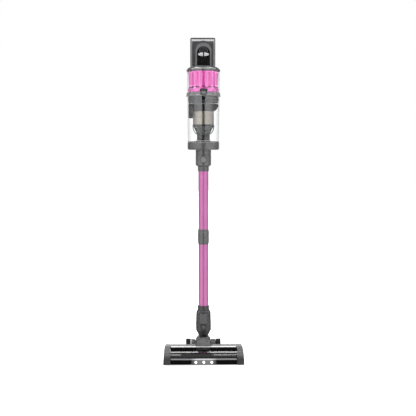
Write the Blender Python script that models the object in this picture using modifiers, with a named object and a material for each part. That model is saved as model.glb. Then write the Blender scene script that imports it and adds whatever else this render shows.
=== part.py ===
"""Cordless stick vacuum: floor head, swivel neck, two-piece wand, dust cup, motor unit, battery.

Units are metres. +Z is up and the front faces -Y. The vacuum stands upright on its front glides
and rear wheels. Every part is placed from the wand's axis, which the empty "wand_axis" carries.
"""
import math

import bmesh
import bpy

MM = 0.001

# Overall layout
HALF_WIDTH = 133.5 * MM          # half the width of the floor head
FRONT_Y = -85.4 * MM             # front of the lamp lenses, from the wand's axis
REAR_Y = 172.0 * MM              # rear of the battery pack
WAND_Y = -(FRONT_Y + REAR_Y) / 2
GAP = 0.3 * MM                   # clearance between neighbouring parts

# Floor head
CAP_X = 110.5 * MM               # inner face of the end caps
HEAD_REAR = 18.0 * MM
SOLE_Z = 2.2 * MM
COVER_TOP = 51.4 * MM
BRUSH_Y, BRUSH_Z, BRUSH_R = -46 * MM, 21.5 * MM, 20.5 * MM
BRUSH_SHAFT_R = 4.0 * MM
DRIVE_Y, DRIVE_Z = 0.0, 22.0 * MM
BRUSH_PULLEY_R = 10.0 * MM
DRIVE_PULLEY_R = 6.0 * MM
BELT_X0, BELT_X1 = -104.2 * MM, -98.8 * MM
WINDOW_Y, WINDOW_Z = -22 * MM, 20 * MM      # centre of the window's elliptical section
WINDOW_A, WINDOW_B = 60 * MM, 31 * MM       # its half axes
WINDOW_WALL = 1.8 * MM
LAMP_PITCH = 26 * MM
LAMP_Z = 11.5 * MM

# Wheels and pivot
AXLE_Y, AXLE_Z, AXLE_R = 52 * MM, 31 * MM, 3.0 * MM
WHEEL_R, WHEEL_X0, WHEEL_X1 = 31 * MM, 42.3 * MM, 59 * MM
SWIVEL_Z, PIN_R = 62 * MM, 4.0 * MM
YOKE_R, YOKE_Z0 = 26.5 * MM, 52 * MM
SLOT_Y = 11 * MM                 # half width of the yoke's slot
BORE_EXTRA = 0.3 * MM            # radial clearance of every bore

# Wand
TUBE_R, TUBE_WALL = 16.25 * MM, 1.5 * MM
COLLAR_BORE = 16.55 * MM
SPIGOT_R = 19.1 * MM
TOP_COLLAR_R = 18.2 * MM
MID_COLLAR_R = 18.5 * MM
JOINT_Z = 417.5 * MM             # where the two tubes meet

# Dust cup and cyclone
CUP_Z0, CUP_Z1 = 730 * MM, 879.7 * MM
CUP_R0, CUP_R1, CUP_WALL = 52.0 * MM, 54.2 * MM, 2.0 * MM
NECK_R = 25.5 * MM
PIPE_R = 21.5 * MM
PACK_Z0, PACK_Z1 = 897 * MM, 965.4 * MM
PACK_R = 49.5 * MM
PACK_CONES = 18

# Motor unit and handle
SHOULDER_Z0, SHOULDER_Z1 = 966 * MM, 978 * MM
HOUSING_HALF, HOUSING_TOP = 26 * MM, 1061 * MM
HOUSING_FRONT, HOUSING_REAR = -30 * MM, 40 * MM
PANEL_HALF, PANEL_TOP = 21 * MM, 1048 * MM
GRIP_Z, GRIP_R, GRIP_RISE = 1030 * MM, 16 * MM, 5 * MM
BASE_Y0, BASE_Y1 = 128 * MM, 142 * MM
BASE_HALF, BASE_Z0, BASE_Z1 = 43 * MM, 972 * MM, 1090 * MM

BIG_STEPS = 32                   # facets round the large turned parts
SMALL_STEPS = 20                 # facets round tubes and pins


# ---------------------------------------------------------------- scene and helpers

for old in list(bpy.data.objects):
    bpy.data.objects.remove(old)

parts = bpy.data.collections.new("stick_vacuum")
cutters = bpy.data.collections.new("cutters")
bpy.context.scene.collection.children.link(parts)
bpy.context.scene.collection.children.link(cutters)

axis = bpy.data.objects.new("wand_axis", None)
axis.location = (0, WAND_Y, 0)
parts.objects.link(axis)


def material(name, colour, roughness, metallic=0.0, alpha=1.0):
    """A Principled material with plain values."""
    made = bpy.data.materials.new(name)
    made.use_nodes = True
    shader = made.node_tree.nodes["Principled BSDF"]
    shader.inputs["Base Color"].default_value = (*colour, 1)
    shader.inputs["Roughness"].default_value = roughness
    shader.inputs["Metallic"].default_value = metallic
    shader.inputs["Alpha"].default_value = alpha
    made.diffuse_color = (*colour, alpha)
    return made


def add(name, mesh, finish, location=(0, 0, 0), turn=(0, 0, 0)):
    """Put a mesh in the vacuum's collection as one named part."""
    part = bpy.data.objects.new(name, mesh)
    part.location = location
    part.rotation_euler = [math.radians(angle) for angle in turn]
    part.parent = axis
    parts.objects.link(part)
    if finish is not None:
        own = finish.copy()
        own.name = name
        mesh.materials.append(own)
    return part


def box(name, low, high, finish=None):
    """A box between two corners."""
    form = bmesh.new()
    bmesh.ops.create_cube(form, size=1)
    size = [b - a for a, b in zip(low, high)]
    bmesh.ops.scale(form, vec=size, verts=form.verts)
    mesh = bpy.data.meshes.new(name)
    form.to_mesh(mesh)
    form.free()
    return add(name, mesh, finish, [(a + b) / 2 for a, b in zip(low, high)])


def rod(name, start, length, radius, along, finish=None, steps=SMALL_STEPS):
    """A round bar from a start point along X, Y or Z."""
    form = bmesh.new()
    bmesh.ops.create_cone(form, cap_ends=True, segments=steps, radius1=radius, radius2=radius,
                          depth=length)
    mesh = bpy.data.meshes.new(name)
    form.to_mesh(mesh)
    form.free()
    mesh.shade_smooth()
    mesh.set_sharp_from_angle(angle=math.radians(40))
    turn = {"X": (0, 90, 0), "Y": (90, 0, 0), "Z": (0, 0, 0)}[along]
    centre = list(start)
    centre["XYZ".index(along)] += length / 2
    return add(name, mesh, finish, centre, turn)


def turned(name, profile, finish=None, steps=BIG_STEPS, closed=True, place=(0, 0, 0), turn=(0, 0, 0)):
    """A shape turned about Z from (radius, height) points that run down its outer side."""
    mesh = bpy.data.meshes.new(name)
    count = len(profile)
    edges = [(i, (i + 1) % count) for i in range(count if closed else count - 1)]
    mesh.from_pydata([(radius, 0, height) for radius, height in profile], edges, [])
    part = add(name, mesh, finish, place, turn)
    screw = part.modifiers.new("turn", "SCREW")
    screw.steps = steps
    screw.render_steps = steps
    screw.use_merge_vertices = True
    screw.merge_threshold = 0.01 * MM
    return part


def plate(name, outline, plane, low, high, finish=None, holes=()):
    """A flat outline in the XY, XZ or YZ plane, made thick between two places on the third axis."""
    curve = bpy.data.curves.new(name, "CURVE")
    curve.dimensions = "2D"
    curve.fill_mode = "BOTH"
    curve.extrude = (high - low) / 2
    for loop in (outline, *holes):
        spline = curve.splines.new("POLY")
        spline.points.add(len(loop) - 1)
        for point, (u, v) in zip(spline.points, loop):
            point.co = (u, v, 0, 1)
        spline.use_cyclic_u = True
    return meshed(name, curve, finish, {
        "XY": ((0, 0, (low + high) / 2), (0, 0, 0)),
        "XZ": ((0, (low + high) / 2, 0), (90, 0, 0)),
        "YZ": (((low + high) / 2, 0, 0), (90, 0, 90)),
    }[plane])


def meshed(name, curve, finish, pose):
    """Turn a curve into a closed mesh part and drop the curve."""
    wire = bpy.data.objects.new(name + "_wire", curve)
    parts.objects.link(wire)
    state = bpy.context.evaluated_depsgraph_get()
    mesh = bpy.data.meshes.new_from_object(wire.evaluated_get(state))
    bpy.data.objects.remove(wire)
    form = bmesh.new()
    form.from_mesh(mesh)
    bmesh.ops.remove_doubles(form, verts=form.verts, dist=0.001 * MM)
    bmesh.ops.recalc_face_normals(form, faces=form.faces)
    form.to_mesh(mesh)
    form.free()
    mesh.name = name
    return add(name, mesh, finish, *pose)


def combine(part, others, operation):
    """Join other shapes to a part, or cut them from it, and file them with the cutters."""
    for other in others:
        parts.objects.unlink(other)
        cutters.objects.link(other)
        other.hide_render = True
        other.display_type = "WIRE"
        step = part.modifiers.new(operation.lower(), "BOOLEAN")
        step.operation = operation
        step.solver = "EXACT"
        step.object = other
    return part


def join(part, *others):
    return combine(part, others, "UNION")


def cut(part, *others):
    return combine(part, others, "DIFFERENCE")


def soften(part, width, segments=2, angle=40):
    """Round the sharp edges of a part."""
    bevel = part.modifiers.new("soften", "BEVEL")
    bevel.width = width
    bevel.segments = segments
    bevel.limit_method = "ANGLE"
    bevel.angle_limit = math.radians(angle)
    return part


def arc(centre, half_axes, start, end, count):
    """Points along an elliptical arc, angles in degrees."""
    points = []
    for i in range(count + 1):
        angle = math.radians(start + (end - start) * i / count)
        points.append((centre[0] + half_axes[0] * math.cos(angle),
                       centre[1] + half_axes[1] * math.sin(angle)))
    return points


def circle(centre, radius, count=SMALL_STEPS):
    return arc(centre, (radius, radius), 0, 360 - 360 / count, count - 1)


def arch(half, low, top):
    """An outline with upright sides and a round top."""
    return [(-half, low), (half, low), *arc((0, top - half), (half, half), 0, 180, 12)]


def round_rect(half, low, high, corner):
    """A rectangle with round corners, symmetric about zero."""
    inner = half - corner
    return [*arc((inner, low + corner), (corner, corner), -90, 0, 4),
            *arc((inner, high - corner), (corner, corner), 0, 90, 4),
            *arc((-inner, high - corner), (corner, corner), 90, 180, 4),
            *arc((-inner, low + corner), (corner, corner), 180, 270, 4)]


def belt_line(radius_a, radius_b, centre_a, centre_b, count=10):
    """The taut loop round two circles, given as an outline."""
    reach = math.hypot(centre_b[0] - centre_a[0], centre_b[1] - centre_a[1])
    slope = math.degrees(math.atan2(centre_b[1] - centre_a[1], centre_b[0] - centre_a[0]))
    lean = math.degrees(math.acos((radius_a - radius_b) / reach))
    return [*arc(centre_a, (radius_a, radius_a), slope + lean, slope + 360 - lean, count),
            *arc(centre_b, (radius_b, radius_b), slope - lean, slope + lean, count)]


# ---------------------------------------------------------------- finishes

DARK = material("dark_plastic", (0.035, 0.035, 0.037), 0.35)
GREY = material("grey_plastic", (0.13, 0.13, 0.13), 0.35)
LIGHT = material("light_plastic", (0.22, 0.22, 0.22), 0.4)
BLACK = material("black_gloss", (0.008, 0.008, 0.009), 0.1)
PINK = material("pink_metal", (0.55, 0.12, 0.36), 0.3, 0.8)
PACK = material("pink_plastic", (0.9, 0.22, 0.6), 0.25)
CLEAR = material("clear_plastic", (0.9, 0.92, 0.92), 0.05, alpha=0.25)
CHROME = material("bright_trim", (0.75, 0.75, 0.76), 0.15, 1.0)
STEEL = material("steel", (0.5, 0.5, 0.5), 0.3, 1.0)
MESH = material("mesh_metal", (0.48, 0.45, 0.4), 0.45, 0.6)
RUBBER = material("rubber", (0.02, 0.02, 0.02), 0.7)
SEAL = material("seal_rubber", (0.6, 0.6, 0.58), 0.6)
LAMP = material("lamp_lens", (0.95, 0.97, 1.0), 0.2)
FILTER = material("filter_paper", (0.85, 0.85, 0.8), 0.9)
BOARD = material("circuit_board", (0.02, 0.15, 0.05), 0.5)


# ---------------------------------------------------------------- floor head

def head_base():
    """Tray behind the brush, with two lugs that carry the axle."""
    tray = plate("head_base",
                 [(-18 * MM, SOLE_Z), (HEAD_REAR, SOLE_Z), (HEAD_REAR, 43 * MM), (15 * MM, 43 * MM),
                  (15 * MM, 5 * MM), (-15 * MM, 5 * MM), (-15 * MM, 42 * MM), (-18 * MM, 42 * MM)],
                 "YZ", -CAP_X + GAP, CAP_X - GAP, GREY)
    lug = [(16 * MM, 13 * MM), *arc((AXLE_Y, AXLE_Z), (13 * MM, 13 * MM), -90, 90, 10), (16 * MM, 42 * MM)]
    join(tray,
         plate("lug_left", lug, "YZ", -38 * MM, -28.5 * MM),
         plate("lug_right", lug, "YZ", 28.5 * MM, 38 * MM))
    cut(tray,
        box("belt_slot", (-108 * MM, -20 * MM, 8 * MM), (-98 * MM, -14 * MM, 50 * MM)),
        box("air_mouth", (-25 * MM, -20 * MM, 10 * MM), (25 * MM, -14 * MM, 36 * MM)),
        rod("axle_bore", (-45 * MM, AXLE_Y, AXLE_Z), 90 * MM, AXLE_R + BORE_EXTRA, "X"))


def top_cover():
    plate("top_cover",
          [(-20.7 * MM, 50.9 * MM), (0, COVER_TOP), (11 * MM, 50.6 * MM), (16 * MM, 48 * MM),
           (HEAD_REAR, 43.4 * MM), (15.6 * MM, 43.4 * MM), (14 * MM, 46.2 * MM), (10 * MM, 48.2 * MM),
           (0, 49 * MM), (-20.7 * MM, 48.5 * MM)],
          "YZ", -CAP_X + GAP, CAP_X - GAP, GREY)


def brush_window():
    """Clear quarter-round cover over the brush, with bright trim along both edges."""
    centre = (WINDOW_Y, WINDOW_Z)
    inner = (WINDOW_A - WINDOW_WALL, WINDOW_B - WINDOW_WALL)
    outer_line = arc(centre, (WINDOW_A, WINDOW_B), 176, 92.4, 12)
    inner_line = arc(centre, inner, 92.4, 176, 12)
    plate("brush_window", outer_line + inner_line, "YZ", -CAP_X + GAP, CAP_X - GAP, CLEAR)
    box("window_trim", (-108 * MM, -24 * MM, 48.9 * MM), (108 * MM, -21.1 * MM, 51.3 * MM), CHROME)
    box("front_trim", (-108 * MM, -84.6 * MM, 19.3 * MM), (108 * MM, -80.5 * MM, 21.7 * MM), CHROME)


def front_strip():
    """Black strip below the window, with the lamp panel and three lenses."""
    box("front_strip", (-CAP_X + GAP, -83.4 * MM, 3 * MM), (CAP_X - GAP, -79.5 * MM, 19 * MM), BLACK)
    box("lamp_panel", (-43 * MM, -84.6 * MM, 4.5 * MM), (43 * MM, -83.7 * MM, 18.4 * MM), GREY)
    for side, word in ((-1, "left"), (0, "middle"), (1, "right")):
        rod("lamp_" + word, (side * LAMP_PITCH, FRONT_Y, LAMP_Z), 0.5 * MM, 4.5 * MM, "Y", LAMP, 16)


def end_cap(word, side):
    """Solid end of the head, drawn in towards its top, with a bearing bore for the brush."""
    outline = [(-83 * MM, SOLE_Z), *arc((-22 * MM, 17 * MM), (63 * MM, 36 * MM), 180, 90, 9),
               (12 * MM, 52.4 * MM), (HEAD_REAR, 47 * MM), (HEAD_REAR, SOLE_Z)]
    cap = plate("end_cap_" + word, outline, "YZ", CAP_X, HALF_WIDTH, LIGHT)
    top = 53 * MM
    for vertex in cap.data.vertices:
        if vertex.co.z > 0:
            vertex.co.z -= 4 * MM * vertex.co.y / top
    if side < 0:
        flip(cap)
    soften(cap, 1.5 * MM)
    low = CAP_X - 1 * MM if side > 0 else -CAP_X - 6 * MM
    cut(cap, rod("bearing_bore_" + word, (low, BRUSH_Y, BRUSH_Z), 7 * MM,
                 BRUSH_SHAFT_R + BORE_EXTRA, "X"))
    low_x, high_x = sorted((side * 112 * MM, side * 131 * MM))
    box("glide_" + word, (low_x, -80 * MM, 0), (high_x, -62 * MM, SOLE_Z - GAP), RUBBER)


def flip(part):
    """Mirror a part across the head's middle plane."""
    form = bmesh.new()
    form.from_mesh(part.data)
    bmesh.ops.scale(form, vec=(1, 1, -1), verts=form.verts)
    bmesh.ops.reverse_faces(form, faces=form.faces)
    form.to_mesh(part.data)
    form.free()
    part.location.x = -part.location.x


def brush_roll():
    """Core with four helical rows of bristle, on a shaft that turns in the end caps."""
    left, right = -97.5 * MM, 107.5 * MM
    around, slices = 24, 12
    form = bmesh.new()
    bmesh.ops.create_cone(form, cap_ends=True, segments=around, radius1=1, radius2=1,
                          depth=right - left)
    for i in range(1, slices):
        level = (right - left) * (i / slices - 0.5)
        faces = form.verts[:] + form.edges[:] + form.faces[:]
        bmesh.ops.bisect_plane(form, geom=faces, plane_co=(0, 0, level), plane_no=(0, 0, 1))
    for vertex in form.verts:
        spoke = round(math.atan2(vertex.co.y, vertex.co.x) / math.tau * around)
        radius = BRUSH_R if spoke % 6 == 0 else 15.5 * MM
        chevron = abs(vertex.co.z) / (right - left) * math.pi
        angle = spoke * math.tau / around + chevron
        vertex.co.x, vertex.co.y = radius * math.cos(angle), radius * math.sin(angle)
    bmesh.ops.triangulate(form, faces=form.faces)
    mesh = bpy.data.meshes.new("brush_roll")
    form.to_mesh(mesh)
    form.free()
    roll = add("brush_roll", mesh, RUBBER, ((left + right) / 2, BRUSH_Y, BRUSH_Z), (0, 90, 0))
    join(roll, rod("brush_shaft", (-115 * MM, BRUSH_Y, BRUSH_Z), 230 * MM, BRUSH_SHAFT_R, "X"))


def brush_drive():
    """Motor in the tray, its pulley, the brush pulley and the belt between them."""
    rod("brush_motor", (-92 * MM, DRIVE_Y, DRIVE_Z), 62 * MM, 13 * MM, "X", STEEL)
    pulley = rod("motor_pulley", (-104.5 * MM, DRIVE_Y, DRIVE_Z), 6 * MM, DRIVE_PULLEY_R, "X", STEEL, 20)
    join(pulley, rod("motor_shaft", (-105.5 * MM, DRIVE_Y, DRIVE_Z), 13.2 * MM, 1.7 * MM, "X", steps=12))
    driven = rod("brush_pulley", (-104.5 * MM, BRUSH_Y, BRUSH_Z), 6 * MM, BRUSH_PULLEY_R, "X", STEEL)
    cut(driven, rod("pulley_bore", (-110 * MM, BRUSH_Y, BRUSH_Z), 14 * MM, BRUSH_SHAFT_R + GAP / 2, "X"))
    ends = ((BRUSH_Y, BRUSH_Z), (DRIVE_Y, DRIVE_Z))
    thick = 1.4 * MM
    plate("drive_belt",
          belt_line(BRUSH_PULLEY_R + GAP + thick, DRIVE_PULLEY_R + GAP + thick, *ends),
          "YZ", BELT_X0, BELT_X1, RUBBER,
          holes=[belt_line(BRUSH_PULLEY_R + GAP, DRIVE_PULLEY_R + GAP, *ends)])


def wheels():
    """Two rear wheels on one steel axle."""
    rod("wheel_axle", (-60 * MM, AXLE_Y, AXLE_Z), 120 * MM, AXLE_R, "X", STEEL)
    bore = AXLE_R + BORE_EXTRA
    half = (WHEEL_X1 - WHEEL_X0) / 2
    for word, side in (("left", -1), ("right", 1)):
        profile = [(bore, half), (9 * MM, half), (11 * MM, half - 3 * MM), (23 * MM, half - 3 * MM),
                   (25 * MM, half), (WHEEL_R - 2 * MM, half), (WHEEL_R, half - 2 * MM),
                   (WHEEL_R, 2 * MM - half), (WHEEL_R - 2 * MM, -half), (bore, -half)]
        turned("wheel_" + word, profile, RUBBER, 32,
               place=(side * (WHEEL_X0 + half), AXLE_Y, AXLE_Z), turn=(0, 90 * side, 0))


# ---------------------------------------------------------------- pivot and head coupling

def pivot():
    """Domed yoke that tilts on the axle and holds the swivel pin."""
    dome = arch(YOKE_R, YOKE_Z0, 56 * MM + YOKE_R)
    yoke = plate("pivot_yoke", dome, "XZ", -25.5 * MM, 46 * MM, DARK)
    join(yoke,
         rod("axle_boss", (-26 * MM, AXLE_Y, AXLE_Z), 52 * MM, 22 * MM, "X", steps=BIG_STEPS),
         box("boss_web", (-25 * MM, 21 * MM, AXLE_Z), (25 * MM, 50 * MM, 60 * MM)))
    cut(yoke,
        box("swing_slot", (-40 * MM, -SLOT_Y, 60.5 * MM), (40 * MM, SLOT_Y, 100 * MM)),
        box("knuckle_slot", (-19 * MM, -SLOT_Y, 40 * MM), (19 * MM, SLOT_Y, 61 * MM)),
        rod("pin_bore", (0, -30 * MM, SWIVEL_Z), 60.5 * MM, PIN_R + BORE_EXTRA, "Y"),
        rod("yoke_axle_bore", (-30 * MM, AXLE_Y, AXLE_Z), 60 * MM, AXLE_R + BORE_EXTRA, "X"))
    rod("swivel_pin", (0, -25.2 * MM, SWIVEL_Z), 55.2 * MM, PIN_R, "Y", STEEL)
    cover = plate("pivot_cover", arch(23.5 * MM, 53 * MM, 80 * MM), "XZ", -28.4 * MM, -25.8 * MM, LIGHT)
    soften(cover, 1 * MM)


def head_coupling():
    """Socket for the wand above a flat knuckle that swings in the yoke."""
    floor, bore = 128 * MM, SPIGOT_R + 0.4 * MM
    socket = turned("head_coupling",
                    [(0, floor), (bore, floor), (bore, 170 * MM), (20.6 * MM, 170 * MM),
                     (24 * MM, 163 * MM), (25.5 * MM, 124 * MM), (25.5 * MM, 104 * MM),
                     (15.3 * MM, 84.6 * MM), (0, 84.6 * MM)],
                    DARK, closed=False)
    knuckle = [*arc((0, SWIVEL_Z), (9.8 * MM, 9.8 * MM), 180, 360, 12),
               (12 * MM, 88 * MM), (-12 * MM, 88 * MM)]
    join(socket, plate("knuckle", knuckle, "XZ", 0.5 * MM - SLOT_Y, SLOT_Y - 0.5 * MM))
    cut(socket,
        rod("knuckle_bore", (0, -30 * MM, SWIVEL_Z), 60 * MM, PIN_R + BORE_EXTRA, "Y"),
        box("coupling_pocket", (-10.4 * MM, -30 * MM, 105.2 * MM), (10.4 * MM, -21.3 * MM, 125.6 * MM)))
    shield = [(-10 * MM, 125.2 * MM), (-10 * MM, 114 * MM), (-6.5 * MM, 107.5 * MM), (0, 105.6 * MM),
              (6.5 * MM, 107.5 * MM), (10 * MM, 114 * MM), (10 * MM, 125.2 * MM)]
    soften(plate("coupling_button", shield, "XZ", -26.1 * MM, -22.7 * MM, LIGHT), 0.6 * MM)


# ---------------------------------------------------------------- wand

def tube(name, radius, wall, low, high, finish):
    """A plain round tube."""
    turned(name, [(radius, high), (radius, low), (radius - wall, low), (radius - wall, high)],
           finish, 32)


def wand():
    turned("bottom_collar",
           [(18.4 * MM, 185 * MM), (SPIGOT_R, 183 * MM), (SPIGOT_R, 128.4 * MM),
            (COLLAR_BORE, 128.4 * MM), (COLLAR_BORE, 185 * MM)], DARK, 32)
    tube("lower_tube", TUBE_R, TUBE_WALL, 128.4 * MM, JOINT_Z - GAP, PINK)
    tube("upper_tube", TUBE_R, TUBE_WALL, JOINT_Z, 685 * MM, PINK)
    tube("top_collar", TOP_COLLAR_R, TOP_COLLAR_R - COLLAR_BORE, 634 * MM, 686 * MM, GREY)
    collar = turned("mid_collar",
                    [(17.6 * MM, 441 * MM), (MID_COLLAR_R, 439 * MM), (MID_COLLAR_R, 393 * MM),
                     (17.6 * MM, 391 * MM), (COLLAR_BORE, 391 * MM), (COLLAR_BORE, 441 * MM)], GREY, 32)
    join(collar, box("button_boss", (-8 * MM, 17.2 * MM, 402 * MM), (8 * MM, 24.5 * MM, 430 * MM)))
    cut(collar, box("mid_pocket", (-5.4 * MM, 20 * MM, 405.6 * MM), (5.4 * MM, 30 * MM, 426.4 * MM)))
    soften(box("mid_button", (-5 * MM, 21.4 * MM, 406 * MM), (5 * MM, 25.6 * MM, 426 * MM), DARK), 0.6 * MM)


# ---------------------------------------------------------------- dust cup and cyclone

def dust_cup():
    """Clear cup, open at the top, with a hole in its floor for the pipe."""
    turned("dust_cup",
           [(CUP_R1 - CUP_WALL, CUP_Z1), (CUP_R1, CUP_Z1), (CUP_R0, CUP_Z0), (24 * MM, CUP_Z0),
            (24 * MM, CUP_Z0 + CUP_WALL), (CUP_R0 - CUP_WALL, CUP_Z0 + CUP_WALL)], CLEAR)
    seal_base = CUP_Z0 + CUP_WALL + GAP
    tube("pipe_seal", 25 * MM, 3.1 * MM, seal_base, seal_base + 4 * MM, SEAL)


def cup_base():
    """Ring below the cup with the neck that takes the wand."""
    ring_top, bore = CUP_Z0 - GAP, TOP_COLLAR_R + 0.4 * MM
    base = turned("cup_base",
                  [(49.4 * MM, ring_top), (52.2 * MM, ring_top), (52.5 * MM, 726 * MM),
                   (51.8 * MM, 709.5 * MM), (49.8 * MM, 706.2 * MM), (46.5 * MM, 705 * MM),
                   (NECK_R, 705 * MM), (NECK_R, 690 * MM), (24.8 * MM, 689.4 * MM),
                   (24.8 * MM, 688.2 * MM), (NECK_R, 687.6 * MM), (NECK_R, 656 * MM),
                   (19.8 * MM, 650 * MM), (bore, 650 * MM), (bore, 687 * MM), (16.2 * MM, 687 * MM),
                   (16.2 * MM, 711 * MM), (49.4 * MM, 711 * MM)], GREY)
    cut(base, box("neck_pocket", (-11.4 * MM, -30 * MM, 660.6 * MM), (11.4 * MM, -21 * MM, 685.4 * MM)))
    button = plate("neck_button", arc((0, 673 * MM), (11 * MM, 12 * MM), 0, 345, 23), "XZ",
                   -26.1 * MM, -22.4 * MM, GREY)
    soften(button, 0.6 * MM)


def cyclone():
    """Core that hangs into the cup: collar, mesh screen, funnel skirt and pipe."""
    low = CUP_Z0 + 101.3 * MM
    core = turned("cyclone_core",
                  [(50.4 * MM, CUP_Z1), (50.4 * MM, 855 * MM), (35.5 * MM, 855 * MM), (35.5 * MM, low),
                   (31 * MM, low), (31 * MM, CUP_Z1)], DARK)
    fin = [(34 * MM, 858 * MM), (34 * MM, 832 * MM),
           *arc((37 * MM, 850 * MM), (12.5 * MM, 19 * MM), -80, 0, 6), (49.5 * MM, 858 * MM)]
    join(core,
         box("inlet_tab", (-49 * MM, -6 * MM, 809 * MM), (-35.6 * MM, 6 * MM, 860 * MM)),
         plate("inlet_fin", fin, "XZ", -5 * MM, 5 * MM))
    tube("mesh_screen", 35 * MM, 1.5 * MM, 788 * MM, 831 * MM, MESH)
    skirt = turned("core_skirt",
                   [(35.8 * MM, 787.7 * MM), (35.8 * MM, 785 * MM), (27 * MM, 770 * MM), (PIPE_R, 757 * MM),
                    (PIPE_R, 713 * MM), (19.5 * MM, 713 * MM), (19.5 * MM, 758 * MM), (30 * MM, 787.7 * MM)],
                   DARK)
    right = [(22 * MM, 785 * MM), (22 * MM, 758 * MM),
             *arc((20 * MM, 785 * MM), (15.6 * MM, 29 * MM), -75, 0, 7)]
    left = [(-u, v) for u, v in reversed(right)]
    join(skirt,
         plate("wing_right", right, "XZ", -1.5 * MM, 1.5 * MM),
         plate("wing_left", left, "XZ", -1.5 * MM, 1.5 * MM))


def cyclone_pack():
    """Ring of small cyclones between a top ring and a bottom flange."""
    count = PACK_CONES * 4
    lobes = []
    for i in range(count):
        angle = math.tau * i / count
        radius = PACK_R - 3.5 * MM * (1 - abs(math.cos(PACK_CONES * angle / 2)) ** 0.7)
        lobes.append((radius * math.cos(angle), radius * math.sin(angle)))
    bore = 33 * MM
    pack = plate("cyclone_pack", lobes, "XY", PACK_Z0 + 8 * MM, PACK_Z1 - 6 * MM, PACK,
                 holes=[circle((0, 0), bore + 2 * MM, BIG_STEPS)])
    flange, top = PACK_Z0 + 11 * MM, PACK_Z1 - 8 * MM
    join(pack,
         turned("pack_flange", [(47.5 * MM, flange), (50.8 * MM, flange - 3 * MM), (50.8 * MM, PACK_Z0),
                                (bore, PACK_Z0), (bore, flange)]),
         turned("pack_ring", [(50 * MM, PACK_Z1), (50 * MM, top), (bore, top), (bore, PACK_Z1)]))
    tube("filter", 31 * MM, 15 * MM, 903 * MM, 962 * MM, FILTER)


# ---------------------------------------------------------------- motor unit

def ring_collar():
    """Grey ring over the cup, notched at the front for the cup latch."""
    ring = turned("ring_collar",
                  [(54.6 * MM, 896 * MM), (56.6 * MM, 893 * MM), (57 * MM, 883 * MM), (55.6 * MM, 880.2 * MM),
                   (46 * MM, 880.2 * MM), (46 * MM, 896 * MM)], GREY)
    cut(ring, box("latch_notch", (-13.4 * MM, -62 * MM, 870 * MM), (13.4 * MM, -54.7 * MM, 899 * MM)))
    latch = box("cup_latch", (-13 * MM, -58.2 * MM, 884 * MM), (13 * MM, -55 * MM, 903 * MM), DARK)
    soften(latch, 0.8 * MM)
    tube("clear_shroud", 54.5 * MM, 1.8 * MM, 896.3 * MM, SHOULDER_Z0 - GAP, CLEAR)
    duct = 22 * MM
    turned("shoulder_cap",
           [(44 * MM, SHOULDER_Z1), (51 * MM, 975.6 * MM), (54.8 * MM, 971.5 * MM), (55.6 * MM, SHOULDER_Z0),
            (duct, SHOULDER_Z0), (duct, SHOULDER_Z1)], GREY)


def motor_housing():
    """Arch-topped shell, open below, with a shallow pocket at the front for the panel."""
    low = SHOULDER_Z1 + GAP
    shell = plate("motor_housing", arch(HOUSING_HALF, low, HOUSING_TOP), "XZ",
                  HOUSING_FRONT, HOUSING_REAR, GREY)
    inner = arch(HOUSING_HALF - 3 * MM, low - 5 * MM, HOUSING_TOP - 3 * MM)
    pocket = arch(PANEL_HALF + GAP, 980 * MM, PANEL_TOP + GAP)
    cut(shell,
        plate("motor_space", inner, "XZ", HOUSING_FRONT + 5.5 * MM, HOUSING_REAR - 2.5 * MM),
        plate("panel_pocket", pocket, "XZ", HOUSING_FRONT - 5 * MM, HOUSING_FRONT + 3 * MM))
    panel = arch(PANEL_HALF, 980.4 * MM, PANEL_TOP)
    plate("front_panel", panel, "XZ", HOUSING_FRONT + 0.4 * MM, HOUSING_FRONT + 2.7 * MM, BLACK)
    badge_y = HOUSING_FRONT + 0.1 * MM
    oval = arc((0, 1021 * MM), (18 * MM, 6 * MM), 0, 345, 23)
    plate("badge", oval, "XZ", badge_y - 1.5 * MM, badge_y, CHROME)
    plate("air_grille", arch(15 * MM, 1029 * MM, 1046 * MM), "XZ", badge_y - 1.5 * MM, badge_y, DARK)


def suction_motor():
    """Motor on the wand's axis, with its shaft and impeller below it."""
    motor = rod("suction_motor", (0, 0, 996 * MM), 44 * MM, 22 * MM, "Z", STEEL, BIG_STEPS)
    cut(motor, rod("motor_bore", (0, 0, 990 * MM), 60 * MM, 2.3 * MM, "Z", steps=12))
    count = 48
    blades = []
    for i in range(count):
        angle = math.tau * i / count
        radius = 19.5 * MM if i % 6 < 3 else 12 * MM
        blades.append((radius * math.cos(angle), radius * math.sin(angle)))
    wheel = plate("impeller", blades, "XY", 983 * MM, 993 * MM, STEEL)
    join(wheel, rod("rotor_shaft", (0, 0, 979 * MM), 63 * MM, 2 * MM, "Z", steps=12))
    box("control_board", (-17 * MM, 32 * MM, 985 * MM), (17 * MM, 33.6 * MM, 1030 * MM), BOARD)


# ---------------------------------------------------------------- handle and battery

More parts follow.
